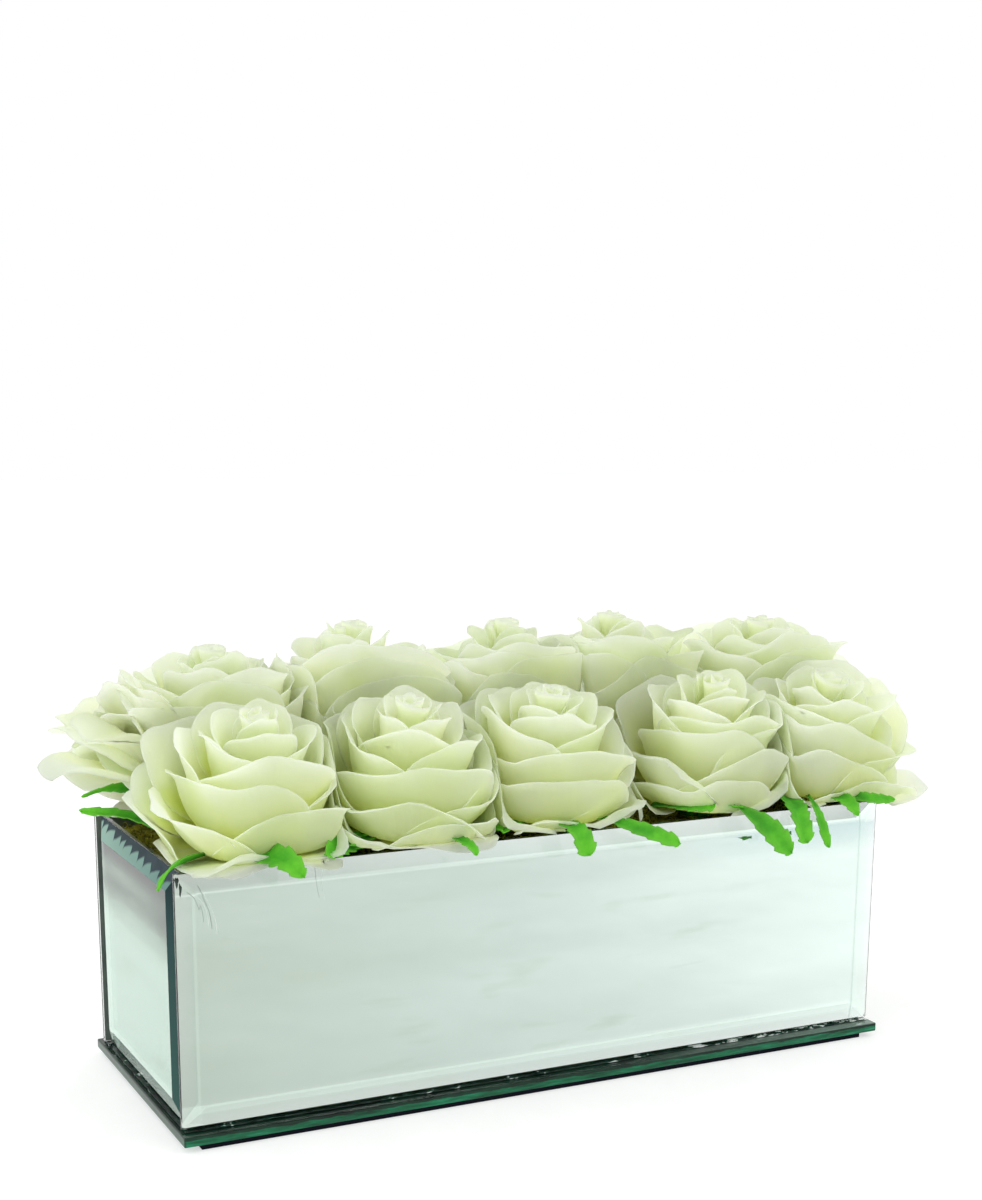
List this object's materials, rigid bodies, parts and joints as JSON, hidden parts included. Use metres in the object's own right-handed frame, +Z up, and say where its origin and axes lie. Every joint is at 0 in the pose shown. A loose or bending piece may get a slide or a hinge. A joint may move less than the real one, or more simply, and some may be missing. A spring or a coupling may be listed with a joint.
{
  "type": "flower box",
  "caption": "Long low trough of bevelled mirror glass on a glass foot plate, filled with foam and moss and packed with open cream fabric roses that lift out on short stems.",
  "frame": {"origin": "centre of the felt pad's underside, on the surface the box stands on", "axes": "+X along the trough, -Y towards its front, +Z up"},
  "size_m": [0.378, 0.139, 0.175],
  "materials": {
    "mirror_glass": "polished",
    "green_glass": "gloss",
    "black_felt": "matte",
    "clear_glue": "gloss",
    "dry_foam": "matte",
    "dried_moss": "matte",
    "stem_plastic": "satin",
    "sepal_cloth": "matte",
    "petal_cloth": "matte"
  },
  "bodies": {
    "trough": {"felt_pad": "black_felt", "foot_plate": "green_glass", "seam_glue_front": "clear_glue", "seam_glue_back": "clear_glue", "seam_glue_left": "clear_glue", "seam_glue_right": "clear_glue", "front_panel": "mirror_glass", "back_panel": "mirror_glass", "left_panel": "mirror_glass", "right_panel": "mirror_glass", "corner_glue_front_left": "clear_glue", "corner_glue_front_right": "clear_glue", "corner_glue_back_left": "clear_glue", "corner_glue_back_right": "clear_glue"},
    "insert": {"foam_block": "dry_foam", "moss_mat": "dried_moss"},
    "rose_front_1": {"rose_front_1_stem": "stem_plastic", "rose_front_1_calyx": "sepal_cloth", "rose_front_1_outer_petals": "petal_cloth", "rose_front_1_inner_petals": "petal_cloth"},
    "rose_front_2": {"rose_front_2_stem": "stem_plastic", "rose_front_2_calyx": "sepal_cloth", "rose_front_2_outer_petals": "petal_cloth", "rose_front_2_inner_petals": "petal_cloth"},
    "rose_front_3": {"rose_front_3_stem": "stem_plastic", "rose_front_3_calyx": "sepal_cloth", "rose_front_3_outer_petals": "petal_cloth", "rose_front_3_inner_petals": "petal_cloth"},
    "rose_front_4": {"rose_front_4_stem": "stem_plastic", "rose_front_4_calyx": "sepal_cloth", "rose_front_4_outer_petals": "petal_cloth", "rose_front_4_inner_petals": "petal_cloth"},
    "rose_front_5": {"rose_front_5_stem": "stem_plastic", "rose_front_5_calyx": "sepal_cloth", "rose_front_5_outer_petals": "petal_cloth", "rose_front_5_inner_petals": "petal_cloth"},
    "rose_back_1": {"rose_back_1_stem": "stem_plastic", "rose_back_1_calyx": "sepal_cloth", "rose_back_1_outer_petals": "petal_cloth", "rose_back_1_inner_petals": "petal_cloth"},
    "rose_back_2": {"rose_back_2_stem": "stem_plastic", "rose_back_2_calyx": "sepal_cloth", "rose_back_2_outer_petals": "petal_cloth", "rose_back_2_inner_petals": "petal_cloth"},
    "rose_back_3": {"rose_back_3_stem": "stem_plastic", "rose_back_3_calyx": "sepal_cloth", "rose_back_3_outer_petals": "petal_cloth", "rose_back_3_inner_petals": "petal_cloth"},
    "rose_back_4": {"rose_back_4_stem": "stem_plastic", "rose_back_4_calyx": "sepal_cloth", "rose_back_4_outer_petals": "petal_cloth", "rose_back_4_inner_petals": "petal_cloth"},
    "rose_back_5": {"rose_back_5_stem": "stem_plastic", "rose_back_5_calyx": "sepal_cloth", "rose_back_5_outer_petals": "petal_cloth", "rose_back_5_inner_petals": "petal_cloth"}
  },
  "joints": [
    {"name": "insert_lift", "type": "slide", "parent": "trough", "child": "insert", "axis": [0, 0, 1], "range_m": [0, 0.11]},
    {"name": "rose_front_1_pull", "type": "slide", "parent": "insert", "child": "rose_front_1", "axis": [0, 0, 1], "range_m": [0, 0.075]},
    {"name": "rose_front_2_pull", "type": "slide", "parent": "insert", "child": "rose_front_2", "axis": [0, 0, 1], "range_m": [0, 0.075]},
    {"name": "rose_front_3_pull", "type": "slide", "parent": "insert", "child": "rose_front_3", "axis": [0, 0, 1], "range_m": [0, 0.075]},
    {"name": "rose_front_4_pull", "type": "slide", "parent": "insert", "child": "rose_front_4", "axis": [0, 0, 1], "range_m": [0, 0.075]},
    {"name": "rose_front_5_pull", "type": "slide", "parent": "insert", "child": "rose_front_5", "axis": [0, 0, 1], "range_m": [0, 0.075]},
    {"name": "rose_back_1_pull", "type": "slide", "parent": "insert", "child": "rose_back_1", "axis": [0, 0, 1], "range_m": [0, 0.075]},
    {"name": "rose_back_2_pull", "type": "slide", "parent": "insert", "child": "rose_back_2", "axis": [0, 0, 1], "range_m": [0, 0.075]},
    {"name": "rose_back_3_pull", "type": "slide", "parent": "insert", "child": "rose_back_3", "axis": [0, 0, 1], "range_m": [0, 0.075]},
    {"name": "rose_back_4_pull", "type": "slide", "parent": "insert", "child": "rose_back_4", "axis": [0, 0, 1], "range_m": [0, 0.075]},
    {"name": "rose_back_5_pull", "type": "slide", "parent": "insert", "child": "rose_back_5", "axis": [0, 0, 1], "range_m": [0, 0.075]}
  ]
}
